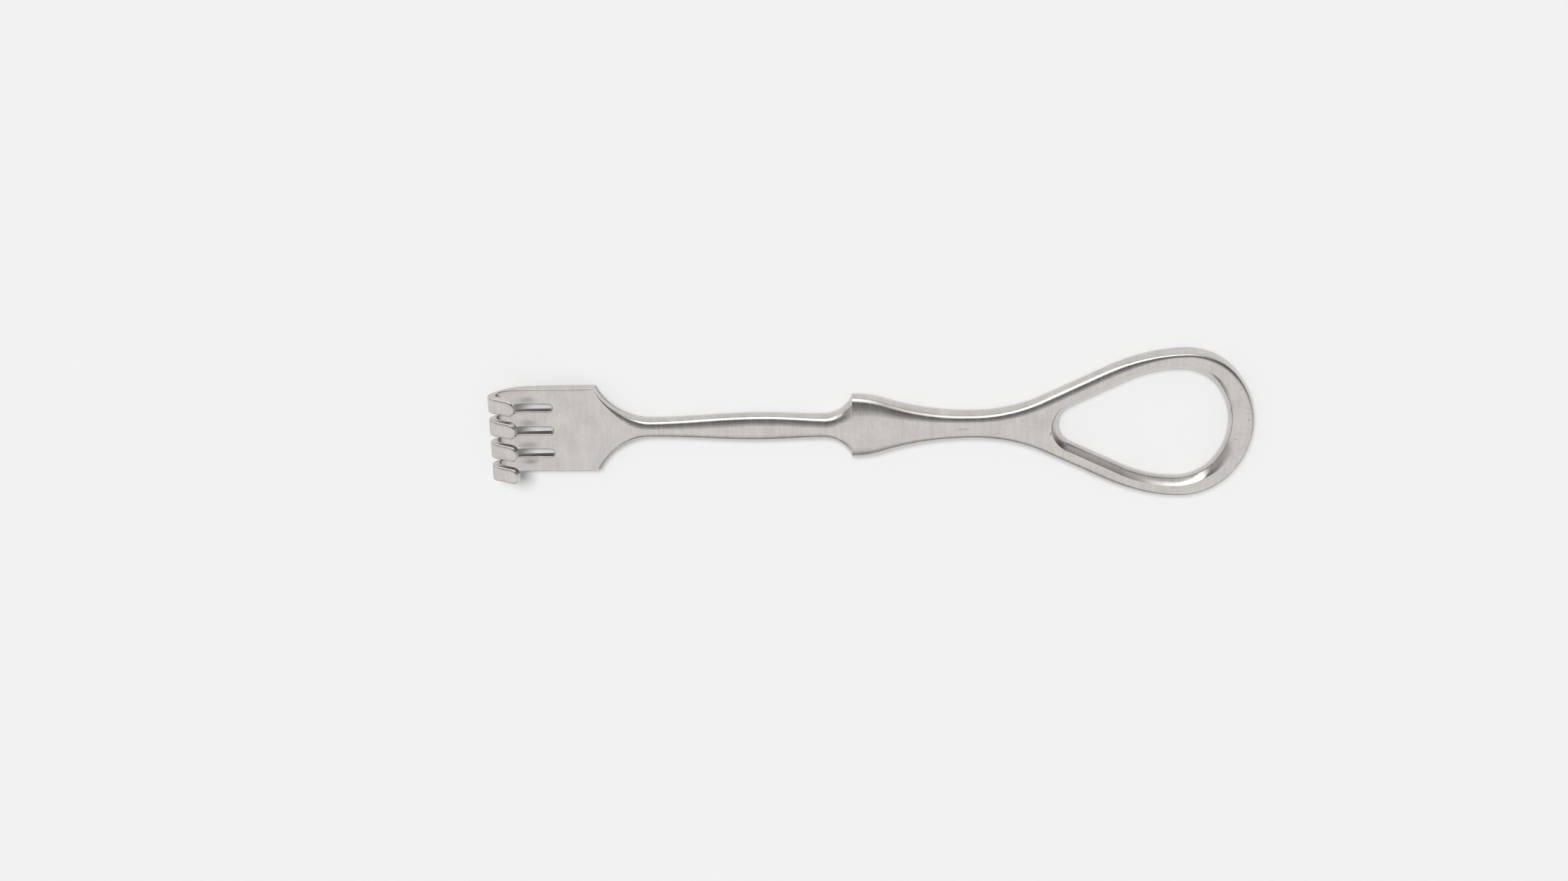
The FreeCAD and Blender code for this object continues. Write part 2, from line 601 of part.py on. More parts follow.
def crown_hole(body, hole):
    """Bulge the wall of the hole inwards, from one face to the other."""
    crown = new_sketch(body, "CrownSection", "XZ_Plane")
    edge_x = size("overall_length") / 2 - size("loop_end_bar")
    half, bulge, rooted = size("loop_thickness") / 2, size("crown"), size("loop_root_edge") / 4
    radius = (half ** 2 + bulge ** 2) / (2 * bulge)
    crown_centre = (edge_x - bulge + radius, 0)
    draw_outline(crown, [
        arc(crown_centre, -radius, (edge_x, -half), (edge_x, half)),
        line((edge_x, half), (edge_x + rooted, half)),
        line((edge_x + rooted, half), (edge_x + rooted, -half)),
        line((edge_x + rooted, -half), (edge_x, -half)),
    ], corners=(0, 1, 2, 3))
    crown.addConstraint(Sketcher.Constraint("PointOnObject", 0, 3, -1))
    crown.addConstraint(Sketcher.Constraint("Horizontal", 1))
    crown.addConstraint(Sketcher.Constraint("Vertical", 2))
    crown.addConstraint(Sketcher.Constraint("Horizontal", 3))
    crown.addConstraint(Sketcher.Constraint("Equal", 1, 3))
    dimension(crown, "wall", "Sizes.overall_length / 2 - Sizes.loop_end_bar",
              "DistanceX", -1, 1, 1, 1, edge_x)
    dimension(crown, "height", "Sizes.loop_thickness", "Distance", 2, 2 * half)
    dimension(crown, "rooted", "Sizes.loop_root_edge / 4", "Distance", 1, rooted)
    dimension(crown, "bulge", "(Sizes.loop_thickness ^ 2 / 4 + Sizes.crown ^ 2) / (2 * Sizes.crown)",
              "Radius", 0, radius)
    doc.recompute()
    pipe = body.newObject("PartDesign::AdditivePipe", "Crown")
    pipe.Profile = crown
    pipe.Spine = (hole, [])
    body.Tip = pipe
    crown.Visibility = False
    doc.recompute()


def round_loop(body):
    """Round the outer edges: full along the straight sides, easing to small round the end."""
    full, small = size("loop_root_edge"), size("loop_end_edge")
    half_plate = size("loop_thickness") / 2
    places = loop_outline()
    edges = []
    for number, edge in enumerate(body.Shape.Edges, start=1):
        start, middle, end = (edge.valueAt(blend(edge.FirstParameter, edge.LastParameter, share))
                              for share in (0, 0.5, 1))
        if abs(abs(middle.z) - half_plate) > 0.001 or not outside(middle, places):
            continue
        radii = [full if point.x < places["flank"][0] + 0.001 else small for point in (start, end)]
        edges.append((number, *radii))
    loop = doc.addObject("Part::Fillet", "Loop")
    loop.Base = body
    loop.Edges = edges
    doc.recompute()
    return loop


def outside(point, places):
    """Whether a point lies on the loop's outline, away from its root and its hole."""
    across = abs(point.y)
    first, flank, corner = places["first"], places["flank"], places["corner_centre"]
    if point.x < first[0] + 0.001:
        return False
    if point.x < flank[0]:
        level = blend(first[1], flank[1], (point.x - first[0]) / (flank[0] - first[0]))
        return abs(across - level) < 0.01
    if point.x < corner[0]:
        side = places["flank_centre"]
        return abs(math.hypot(point.x - side[0], across - side[1]) - size("flank_radius")) < 0.01
    if across > places["joint"][1]:
        reach = math.hypot(point.x - corner[0], across - corner[1])
        return abs(reach + corner[1] - size("loop_width") / 2) < 0.01
    return abs(math.hypot(point.x - places["end_centre"][0], across) - places["end_radius"]) < 0.01


def check(item):
    if "Invalid" in item.State or "Error" in item.State:
        raise RuntimeError("%s did not build: %s" % (item.Name, item.State))
    if hasattr(item, "Shape") and (item.Shape.isNull() or not item.Shape.isValid()):
        raise RuntimeError("%s has no valid shape" % item.Name)


parts = [make_head(), make_shank(), make_handle(), round_loop(make_loop())]
forging = doc.addObject("Part::MultiFuse", "Forging")
forging.Shapes = parts
forging.Refine = True
forging.Label = "retractor"
forging.Placement = FreeCAD.Placement(V(0, 0, size("rest_thickness") / 2), FreeCAD.Rotation())
doc.recompute()
for item in doc.Objects:
    check(item)
if len(forging.Shape.Solids) != 1:
    raise RuntimeError("the forging is not one solid")
os.makedirs("parts", exist_ok=True)
forging.Shape.exportStep("parts/%s.step" % forging.Label)
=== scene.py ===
import math

import bmesh
import bpy
import numpy as np
from mathutils import Matrix, Vector
from mathutils.geometry import delaunay_2d_cdt, tessellate_polygon


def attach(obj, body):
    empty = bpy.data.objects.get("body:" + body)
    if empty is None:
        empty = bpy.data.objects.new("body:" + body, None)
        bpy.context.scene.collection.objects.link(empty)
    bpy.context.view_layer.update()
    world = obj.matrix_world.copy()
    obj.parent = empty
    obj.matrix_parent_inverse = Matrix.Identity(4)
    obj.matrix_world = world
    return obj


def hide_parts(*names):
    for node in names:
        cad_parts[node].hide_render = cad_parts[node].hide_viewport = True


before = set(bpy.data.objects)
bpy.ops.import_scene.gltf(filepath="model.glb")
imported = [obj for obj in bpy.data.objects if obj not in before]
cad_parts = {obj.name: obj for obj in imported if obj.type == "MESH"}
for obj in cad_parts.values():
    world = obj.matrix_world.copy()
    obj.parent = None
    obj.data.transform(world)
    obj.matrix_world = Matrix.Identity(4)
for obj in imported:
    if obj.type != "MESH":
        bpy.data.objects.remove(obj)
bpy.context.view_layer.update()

# Plan and side sizes of the forging in millimetres, prongs at -X and loop at +X.
forging = {
    "endX": 108.0,
    "midZ": 3.5,
    "bladeX": -78.6,  # where blade and shoulder meet
    "halfBlade": 13.0,
    "bladeThickness": 2.7,
    "edgeRadius": 0.35,
}


def mix(first, last, share):
    return first + (last - first) * share


def ease(share):  # slow at both ends
    return (1 - math.cos(math.pi * min(max(share, 0), 1))) / 2


def aroundPoint(centre, radius, degrees):
    angle = math.radians(degrees)
    return (centre[0] + radius * math.cos(angle), centre[1] + radius * math.sin(angle))


def sampleArc(centre, radius, start, end, count):
    return [aroundPoint(centre, radius, mix(start, end, step / count)) for step in range(count + 1)]


def sampleLine(start, end, count):
    shares = [step / count for step in range(count + 1)]
    return [(mix(start[0], end[0], share), mix(start[1], end[1], share)) for share in shares]


def quarterTurns(count):
    return [math.pi / 2 * step / count for step in range(count + 1)]


# Points and faces of one closed skin, gathered strip by strip.
class Shell:
    def __init__(self):
        self.points = []
        self.faces = []

    def addRow(self, row):
        first = len(self.points)
        self.points += [tuple(point) for point in row]
        return list(range(first, first + len(row)))

    def bridge(self, row, nextRow, closed=False):
        count = len(row)
        for step in range(count if closed else count - 1):
            following = (step + 1) % count
            self.faces.append((row[step], row[following], nextRow[following], nextRow[step]))


# Shaft, finger rest and handle: sections across the bar at many places along it.
# Sizes in millimetres. An X is a place along the tool, a Half is half a width.
shaft = {
    "shoulderRadius": 17.1,
    "neckHalf": 2.95,
    "bellyX": -32.0,
    "bellyHalf": 4.15,
    "throatHalf": 3.625,
    "flareRadius": 8.8,
    "shaftThickness": 4.9,
    "shaftEdge": 2.4,
    "swellX": -28.0,
    "restX": -5.6,
    "restHalf": 9.75,
    "restThickness": 7.0,
    "restEdge": 6.8,
    "crestShare": 0.27,  # outer arc's share of the curve from rest to waist
    "waistHalf": 4.15,
    "waistLength": 1.3,
    "waistEdge": 2.6,
    "waistThickness": 5.6,
    "rootRadius": 45.0,
    "land": 0.15,  # flat left on the side after the edges are rolled
    "soften": 1.4,  # how much polishing widens an edge
    "widestEdge": 3.4,
    "rollStart": 0.6,  # below 1 the blade's edge rolls over sooner
    "edgeSteps": 14,
    "shoulderSteps": 30,
    "neckSteps": 26,
    "bellySteps": 14,
    "flareSteps": 30,
    "crestSteps": 18,
    "hollowSteps": 30,
    "rootSteps": 20,
}

# Teardrop loop with a crowned wall round the hole. Sizes in millimetres, the angle in degrees.
loop = {
    "flankAngle": 26.5,
    "flankRadius": 50.6,
    "halfWidth": 22.45,
    "cornerRadius": 18.5,
    "endFlat": 1.5,  # how far the end bulges past the corners
    "thickness": 5.5,
    "rootEdge": 2.7,
    "rootDepth": 2.5,
    "endEdge": 1.35,
    "sideBar": 3.65,
    "endBar": 4.9,
    "holeFlankRadius": 35.5,
    "holeCornerRadius": 15.5,
    "holeEndFlat": 1.1,
    "crotchRadius": 8.25,
    "crown": 1.9,  # bulge of the wall into the hole
    "crownPower": 1.5,
    "roll": 1.5,  # how far the wall's edge is rolled back at the far end
    "rollFrom": 94.0,
    "rollAll": 102.5,
    "edgeSteps": 14,
    "straightSteps": 13,
    "flankSteps": 34,
    "cornerSteps": 34,
    "endSteps": 24,
    "crotchSteps": 36,
    "crownSteps": 20,
}
slope = math.radians(loop["flankAngle"])


# Centres and joints of a teardrop on its +Y side.
def teardrop(halfWidth, corner, flat, flank, tipX):
    rise = halfWidth - corner
    endRadius = corner + flat / 2 + rise ** 2 / (2 * flat)
    widestX = tipX - corner - flat
    endX = tipX - endRadius
    flankY = halfWidth - flank
    return {
        "endCentre": (endX, 0),
        "endRadius": endRadius,
        "lean": math.degrees(math.atan2(rise, widestX - endX)),
        "cornerCentre": (widestX, rise),
        "corner": corner,
        "flankCentre": (widestX, flankY),
        "flankRadius": flank,
        "flank": (widestX - flank * math.sin(slope), flankY + flank * math.cos(slope)),
    }


outside = teardrop(loop["halfWidth"], loop["cornerRadius"], loop["endFlat"], loop["flankRadius"],
                   forging["endX"])
rootY = shaft["waistHalf"] + shaft["rootRadius"] * (1 - math.cos(slope))
rootX = outside["flank"][0] - (outside["flank"][1] - rootY) / math.tan(slope)


# Points round the bar: down its +Y side from the top flat, then up its -Y side.
def sectionAcross(place, halfWidth, halfThickness, edgeWidth, edgeDepth):
    quarter = [(halfWidth - edgeWidth * (1 - math.sin(turn)),
                halfThickness - edgeDepth * (1 - math.cos(turn)))
               for turn in quarterTurns(shaft["edgeSteps"])]
    side = quarter + [(across, -up) for across, up in reversed(quarter)]
    full = side + [(-across, up) for across, up in reversed(side)]
    return [(place, across, forging["midZ"] + up) for across, up in full]


# Edge width after polishing, which rolls the face into the edge.
def softened(edge, half):
    return max(edge, min(edge * shaft["soften"], half - shaft["land"], shaft["widestEdge"]))


# Place, half width, half thickness, edge width and edge depth of each section, from the blade
# over neck and belly to the finger rest.
def sectionsToRest():
    s = shaft
    bladeX = forging["bladeX"]
    shoulder = math.degrees(math.acos(1 - (forging["halfBlade"] - s["neckHalf"]) / s["shoulderRadius"]))
    neckX = bladeX + s["shoulderRadius"] * math.sin(math.radians(shoulder))
    flare = math.degrees(math.acos(1 - (s["restHalf"] - s["throatHalf"]) / s["flareRadius"]))
    throatX = s["restX"] - s["flareRadius"] * math.sin(math.radians(flare))
    outline = sampleArc((neckX, s["neckHalf"] + s["shoulderRadius"]), s["shoulderRadius"],
                        -90 - shoulder, -90, s["shoulderSteps"])
    for firstX, firstHalf, lastX, lastHalf, count in (
        (neckX, s["neckHalf"], s["bellyX"], s["bellyHalf"], s["neckSteps"]),
        (s["bellyX"], s["bellyHalf"], throatX, s["throatHalf"], s["bellySteps"]),
    ):
        outline += [(mix(firstX, lastX, step / count), mix(firstHalf, lastHalf, ease(step / count)))
                    for step in range(1, count + 1)]
    outline += sampleArc((throatX, s["throatHalf"] + s["flareRadius"]), s["flareRadius"],
                         -90, -90 + flare, s["flareSteps"])[1:]
    stations = []
    for place, half in outline:
        grown = ease((place - bladeX) / (neckX - bladeX))
        swell = max(0, (place - s["swellX"]) / (s["restX"] - s["swellX"]))
        spread = 0
        if place > throatX:
            spread = max(0, half - s["throatHalf"]) / (s["restHalf"] - s["throatHalf"])
        thickness = mix(forging["bladeThickness"], s["shaftThickness"], grown)
        thickness += (s["restThickness"] - s["shaftThickness"]) * swell ** 2
        rolled = grown ** s["rollStart"]
        edge = mix(mix(forging["edgeRadius"], s["shaftEdge"], rolled), s["restEdge"], spread)
        depth = mix(forging["edgeRadius"], thickness / 2 - s["land"], rolled)
        edge = mix(edge, softened(edge, half), grown)
        stations.append((place, half, thickness / 2, edge, depth))
    return stations


# The same from the finger rest over the waist to the root of the loop.
def sectionsToLoop():
    s = shaft
    waistEndX = rootX - s["rootRadius"] * math.sin(slope)
    waistX = waistEndX - s["waistLength"]
    drop = s["restHalf"] - s["waistHalf"]
    taper = 2 * math.degrees(math.atan2(drop, waistX - s["restX"]))
    radii = (waistX - s["restX"]) / math.sin(math.radians(taper))
    crest, hollow = radii * s["crestShare"], radii * (1 - s["crestShare"])
    outline = sampleArc((s["restX"], s["restHalf"] - crest), crest, 90, 90 - taper, s["crestSteps"])[1:]
    outline += sampleArc((waistX, s["waistHalf"] + hollow), hollow, -90 - taper, -90, s["hollowSteps"])[1:]
    outline += sampleArc((waistEndX, s["waistHalf"] + s["rootRadius"]), s["rootRadius"],
                         -90, -90 + loop["flankAngle"], s["rootSteps"])
    stations = []
    for place, half in outline:
        if place < waistEndX:
            share = max(0, waistX - place) / (waistX - s["restX"])
            thickness = mix(s["waistThickness"], s["restThickness"], share)
            edge = mix(s["waistEdge"], s["restEdge"], share ** 2)
            depth = thickness / 2 - s["land"]
        else:
            share = (place - waistX) / (rootX - waistX)
            thickness = mix(s["waistThickness"], loop["thickness"], share)
            edge = mix(s["waistEdge"], loop["rootEdge"] / math.cos(slope), share)
            depth = mix(s["waistThickness"] / 2 - s["land"], loop["rootDepth"], share)
        stations.append((place, half, thickness / 2, edge, depth))
    return stations


def buildShaft():
    skin = Shell()
    rows = [skin.addRow(sectionAcross(*station)) for station in sectionsToRest() + sectionsToLoop()]
    for row, nextRow in zip(rows, rows[1:]):
        skin.bridge(row, nextRow, closed=True)
    print("shaft and handle drawn,", len(skin.faces), "faces")
    return skin


# Points and outward directions from the +Y root round the end to the -Y root.
def walkTeardrop(shape, first):
    away = (-math.sin(slope), math.cos(slope))
    upper = [(first, away)]
    straight = math.dist(first, shape["flank"])
    for distance in np.linspace(0, straight, loop["straightSteps"] + 1)[1:-1]:
        upper.append(((first[0] + distance * math.cos(slope), first[1] + distance * math.sin(slope)), away))
    arcs = (
        (shape["flankCentre"], shape["flankRadius"], 90 + loop["flankAngle"], 90, loop["flankSteps"]),
        (shape["cornerCentre"], shape["corner"], 90, shape["lean"], loop["cornerSteps"]),
        (shape["endCentre"], shape["endRadius"], shape["lean"], 0, loop["endSteps"]),
    )
    for number, (centre, radius, start, end, count) in enumerate(arcs):
        for step in range(min(number, 1), count + 1):  # a later arc's first point is already there
            angle = mix(start, end, step / count)
            upper.append((aroundPoint(centre, radius, angle), aroundPoint((0, 0), 1, angle)))
    lower = [((point[0], -point[1]), (way[0], -way[1])) for point, way in reversed(upper[:-1])]
    return upper + lower


# Pairs of bulge into the hole and height: sharp at the face, rolled over at the far end.
def wallOfHole(x):
    crown, roll = loop["crown"], loop["roll"]
    rolled = ease((x - loop["rollFrom"]) / (loop["rollAll"] - loop["rollFrom"]))
    pairs = []
    for step in range(loop["crownSteps"] + 1):
        level = math.cos(math.pi * step / loop["crownSteps"])
        sharp = crown * (1 - abs(level) ** loop["crownPower"])
        domed = (crown + roll) * math.sqrt(max(0, 1 - level ** 2)) - roll
        pairs.append((mix(sharp, domed, rolled), loop["thickness"] / 2 * level))
    return pairs


def buildLoop():
    skin = Shell()
    half = loop["thickness"] / 2
    midZ = forging["midZ"]
    walk = walkTeardrop(outside, (rootX, rootY))
    rows = []
    for index, (point, away) in enumerate(walk):
        eased = ease((point[0] - outside["flank"][0]) / (outside["cornerCentre"][0] - outside["flank"][0]))
        width = mix(loop["rootEdge"], loop["endEdge"], eased)
        depth = mix(loop["rootDepth"], loop["endEdge"], eased)
        profile = [(width * (1 - math.sin(turn)), half - depth * (1 - math.cos(turn)))
                   for turn in quarterTurns(loop["edgeSteps"])]
        profile += [(inset, -up) for inset, up in reversed(profile)]
        row = []
        for inset, up in profile:
            x, y = point[0] - away[0] * inset, point[1] - away[1] * inset
            if index in (0, len(walk) - 1):  # both ends lie in the handle's last section
                y -= math.copysign(1, y) * (x - rootX) * math.tan(slope)
                x = rootX
            row.append((x, y, midZ + up))
        rows.append(skin.addRow(row))
    for row, nextRow in zip(rows, rows[1:]):
        skin.bridge(row, nextRow)

    hole = teardrop(loop["halfWidth"] - loop["sideBar"], loop["holeCornerRadius"], loop["holeEndFlat"],
                    loop["holeFlankRadius"], forging["endX"] - loop["endBar"])
    crotch = loop["crotchRadius"]
    crotchX = hole["flank"][0] - hole["flank"][1] / math.tan(slope) + crotch / math.sin(slope)
    inner = walkTeardrop(hole, aroundPoint((crotchX, 0), crotch, 90 + loop["flankAngle"]))
    turns = np.linspace(270 - loop["flankAngle"], 90 + loop["flankAngle"], loop["crotchSteps"] + 1)[1:-1]
    inner += [(aroundPoint((crotchX, 0), crotch, turn), aroundPoint((0, 0), 1, turn)) for turn in turns]
    innerRows = []
    for point, away in inner:
        innerRows.append(skin.addRow([(point[0] - away[0] * bulge, point[1] - away[1] * bulge, midZ + up)
                                      for bulge, up in wallOfHole(point[0])]))
    for row, nextRow in zip(innerRows, innerRows[1:] + innerRows[:1]):
        skin.bridge(row, nextRow)

    # Top and bottom face between the outer edge and the hole.
    for end, upwards in ((0, True), (-1, False)):
        rim = [row[end] for row in rows]
        edge = [row[end] for row in innerRows]
        polygons = [[Vector(skin.points[i]) for i in rim], [Vector(skin.points[i]) for i in edge]]
        order = rim + edge
        for triangle in tessellate_polygon(polygons):
            a, b, c = (order[i] for i in triangle)
            pa, pb, pc = (np.array(skin.points[i]) for i in (a, b, c))
            pointsUp = np.cross(pb - pa, pc - pa)[2] > 0
            skin.faces.append((a, b, c) if pointsUp == upwards else (a, c, b))
    print("loop drawn,", len(skin.faces), "faces")
    return skin


# Blade and prongs: a plate drawn flat, then laid along the side view of the curl.
# Sizes in millimetres, angles in degrees.
head = {
    "prongThickness": 2.15,
    "slotWidth": 2.25,
    "slotCount": 3,
    "slotEndX": -90.5,
    "curlX": -96.4,
    "curlRadius": 15.0,
    "curlAngle": 46.0,
    "curlInnerRadius": 15.0,
    "bendRadius": 2.3,
    "bendInnerRadius": 2.0,
    "bendThickness": 2.3,
    "armAngle": 26.0,
    "armLength": 6.8,
    "armThickness": 2.0,
    "tipRadius": 1.9,
    "rolledDepth": 0.13,  # long edges worn round
    "rolledWidth": 0.65,
    "rolledFades": (3.0, 8.0),  # distance over which it starts at the blade and ends at the tips
    "tipWear": 0.34,  # outer faces of the prongs worn towards their ends
    "tipWearWidth": 0.55,
    "tipWearFrom": 8.5,
    "tipWearGrows": 3.5,
    "groundDepth": 0.2,  # hollows left by the wheel beside the slots
    "groundAside": 1.2,
    "groundReach": 19.0,
    "groundLength": 2.5,
    "groundWidth": 0.95,
    "across": 0.45,  # spacing of the points across the plate
    "edgeSteps": 14,
    "backSteps": (24, 26, 4, 22, 14),  # thinning, curl, straight, bend, arm
    "frontSteps": (300, 300, 300, 200),  # thinning, curl, bend, arm
    "matchWindow": 400,  # points of the front searched for each point of the back
    "cornerSteps": 8,
    "slotSteps": 14,
    "slotGap": 0.2,  # least distance of an edge point from the slot's round or the blade's end
    "tipGap": 0.15,  # the same from the tip's round
    "faceGap": 0.2,  # least distance of a face point from the edge
    "endGap": 0.3,  # the same from both ends
    "slotLead": 1.0,  # how far before a slot its worn edge starts
    "tolerance": 1e-6,  # of the triangles on the flat plate
}
prongPitch = (2 * forging["halfBlade"] + head["slotWidth"]) / (head["slotCount"] + 1)
prongWidth = prongPitch - head["slotWidth"]
slotMiddles = [(index - (head["slotCount"] - 1) / 2) * prongPitch for index in range(head["slotCount"])]


# Distance between the centres of two touching arcs that take a face down by an amount:
# one starts level at x, the other ends level below its own centre.
def thinningReach(x, centre, thinned):
    return ((x - centre[0]) ** 2 + thinned ** 2) / (2 * thinned)


# Back and front of the side view, as matching points from the blade to the tip.
def curlSides():
    h = head
    bladeX, endX = forging["bladeX"], -forging["endX"]
    halfThickness, halfProng = forging["bladeThickness"] / 2, h["prongThickness"] / 2
    turn, rise = h["curlAngle"], h["armAngle"]
    along, inwards = aroundPoint((0, 0), 1, rise), aroundPoint((0, 0), 1, rise - 90)
    curl, bend = h["curlRadius"], h["bendRadius"]
    curlCentre = (h["curlX"], curl - halfProng)
    reach = thinningReach(bladeX, curlCentre, halfThickness - halfProng)
    startAngle = -90 - math.degrees(math.asin((bladeX - curlCentre[0]) / reach))
    backRadius = reach + curl
    curlEnd = aroundPoint(curlCentre, curl, -90 - turn)
    bendX = endX + bend
    bendStartX = aroundPoint((bendX, 0), bend, -90 - turn)[0]
    climb = (curlEnd[0] - bendStartX) * math.tan(math.radians(turn))
    bendCentre = (bendX, curlEnd[1] + climb + bend * math.cos(math.radians(turn)))
    thinSteps, curlSteps, straightSteps, bendSteps, armSteps = h["backSteps"]
    back = sampleArc((bladeX, backRadius - halfThickness), backRadius, -90, startAngle, thinSteps)
    back += sampleArc(curlCentre, curl, startAngle, -90 - turn, curlSteps)[1:]
    back += sampleLine(curlEnd, aroundPoint(bendCentre, bend, -90 - turn), straightSteps)[1:]
    back += sampleArc(bendCentre, bend, -90 - turn, -270 + rise, bendSteps)[1:]
    tipOutside = (back[-1][0] + h["armLength"] * along[0], back[-1][1] + h["armLength"] * along[1])
    back += sampleLine(back[-1], tipOutside, armSteps)[1:]

    tipInside = (tipOutside[0] + h["armThickness"] * inwards[0],
                 tipOutside[1] + h["armThickness"] * inwards[1])
    small, large = h["bendInnerRadius"], h["curlInnerRadius"]
    smallX = endX + h["bendThickness"] + small
    retreat = (smallX - tipInside[0] - small * inwards[0]) / along[0]
    smallEnd = (tipInside[0] + retreat * along[0], tipInside[1] + retreat * along[1])
    smallCentre = (smallEnd[0] + small * inwards[0], smallEnd[1] + small * inwards[1])
    largeY = halfProng + large
    lean = math.degrees(math.acos((largeY - smallCentre[1]) / (large - small)))
    largeCentre = (smallX + (large - small) * math.sin(math.radians(lean)), largeY)
    reach = thinningReach(bladeX, largeCentre, halfThickness - halfProng)
    thinTurn = math.degrees(math.asin((bladeX - largeCentre[0]) / reach))
    thinSteps, curlSteps, bendSteps, armSteps = h["frontSteps"]
    front = sampleArc((bladeX, halfThickness - reach + large), reach - large, 90, 90 + thinTurn, thinSteps)
    front += sampleArc(largeCentre, large, -90 + thinTurn, -90 - lean, curlSteps)[1:]
    front += sampleArc(smallCentre, small, -90 - lean, -270 + rise, bendSteps)[1:]
    front += sampleLine(front[-1], tipInside, armSteps)[1:]

    front = np.array(front)
    matched = []
    reached = 0
    for point in back:
        distance = np.hypot(front[reached:, 0] - point[0], front[reached:, 1] - point[1])
        reached += int(np.argmin(distance[:h["matchWindow"]]))
        matched.append(front[reached])
    matched[0], matched[-1] = front[0], front[-1]
    return np.array(back), np.array(matched)


backLine, frontLine = curlSides()
middleLine = (backLine + frontLine) / 2
reachAlong = np.concatenate(([0], np.cumsum(np.hypot(*np.diff(middleLine, axis=0).T))))
headLength = float(reachAlong[-1])


# 1 in the hollows ground by hand beside the slots, 0 elsewhere.
def groundShare(u, y):
    h = head
    aside = h["slotWidth"] / 2 + h["groundAside"]
    hollows = [middle + aside for middle in slotMiddles] + [min(slotMiddles) - aside]
    beside = sum(math.exp(-((y - place) / h["groundWidth"]) ** 2) for place in hollows)
    return min(1, beside) * math.exp(-((u - h["groundReach"]) / h["groundLength"]) ** 2)


# How far the front is taken down: rolled long edges and the ground hollows.
def frontWear(u, y):
    h = head
    starts, ends = h["rolledFades"]
    fade = min(1, u / starts) * min(1, max(0, headLength - u) / ends)
    side = forging["halfBlade"] - abs(y)
    depth = h["rolledDepth"] * math.exp(-side / h["rolledWidth"])
    intoSlot = (u - (forging["bladeX"] - h["slotEndX"])) / h["slotLead"] + 1
    if intoSlot > 0:
        for middle in slotMiddles:
            gap = max(abs(y - middle) - h["slotWidth"] / 2, 0)
            depth += h["rolledDepth"] / 2 * math.exp(-gap / h["rolledWidth"]) * min(1, intoSlot)
    return (depth + h["groundDepth"] * groundShare(u, y)) * fade


# How far the outer face of each prong is taken down towards its edges and its end.
def tipWear(u, y):
    h = head
    low = y + forging["halfBlade"] - prongWidth / 2
    nearestProng = prongPitch * min(max(round(low / prongPitch), 0), h["slotCount"])
    aside = abs(low - nearestProng) - (prongWidth / 2 - h["tipRadius"])
    beyond = u - (headLength - h["tipRadius"])
    past = math.hypot(aside, beyond) if aside > 0 and beyond > 0 else max(aside, beyond)
    fromEdge = max(0, h["tipRadius"] - past)
    grown = ease((u - headLength + h["tipWearFrom"]) / h["tipWearGrows"])
    return h["tipWear"] * math.exp(-fromEdge / h["tipWearWidth"]) * grown


# Point of the head at a distance along and across, sunk below one of its faces.
def layOnCurl(u, y, fromFront=None, fromBack=None):
    front = np.array([np.interp(u, reachAlong, frontLine[:, k]) for k in (0, 1)])
    back = np.array([np.interp(u, reachAlong, backLine[:, k]) for k in (0, 1)])
    through = (back - front) / np.hypot(*(back - front))
    if fromBack is None:
        point = front + through * (fromFront + frontWear(u, y))
    else:
        point = back - through * (fromBack + tipWear(u, y))
    return (float(point[0]), y, forging["midZ"] + float(point[1]))


# Edge of the flat plate in from its side by an amount, walked from -Y round the tips.
def headOutline(inset):
    h = head
    count = h["slotCount"]
    halfSlot = h["slotWidth"] / 2
    slotU = forging["bladeX"] - (h["slotEndX"] - halfSlot)
    tipU = headLength - h["tipRadius"]
    outer = [float(u) for u in reachAlong if h["slotGap"] < u < tipU - h["tipGap"]]
    along = [u for u in outer if u > slotU + h["slotGap"]]
    corner = h["tipRadius"] - inset
    points = []
    for prong in range(count + 1):
        low = -forging["halfBlade"] + prong * prongPitch
        high = low + prongWidth
        going = [0.0] + outer if prong == 0 else along
        points += [(u, low + inset) for u in going]
        points += sampleArc((tipU, low + h["tipRadius"]), corner, -90, 0, h["cornerSteps"])
        points += sampleArc((tipU, high - h["tipRadius"]), corner, 0, 90, h["cornerSteps"])
        returning = [0.0] + outer if prong == count else along
        points += [(u, high - inset) for u in reversed(returning)]
        if prong < count:
            points += sampleArc((slotU, high + halfSlot), halfSlot + inset, 270, 90, h["slotSteps"])
    return points


def insideOutline(u, y, polygon):
    nextOnes = np.roll(polygon, -1, axis=0)
    crosses = (polygon[:, 1] > y) != (nextOnes[:, 1] > y)
    run, climb = (nextOnes - polygon).T
    with np.errstate(divide="ignore", invalid="ignore"):
        where = polygon[:, 0] + (y - polygon[:, 1]) * run / climb
    return bool(np.count_nonzero(crosses & (where > u)) % 2)


def nearest(u, y, polygon):
    return float(np.min(np.hypot(polygon[:, 0] - u, polygon[:, 1] - y)))


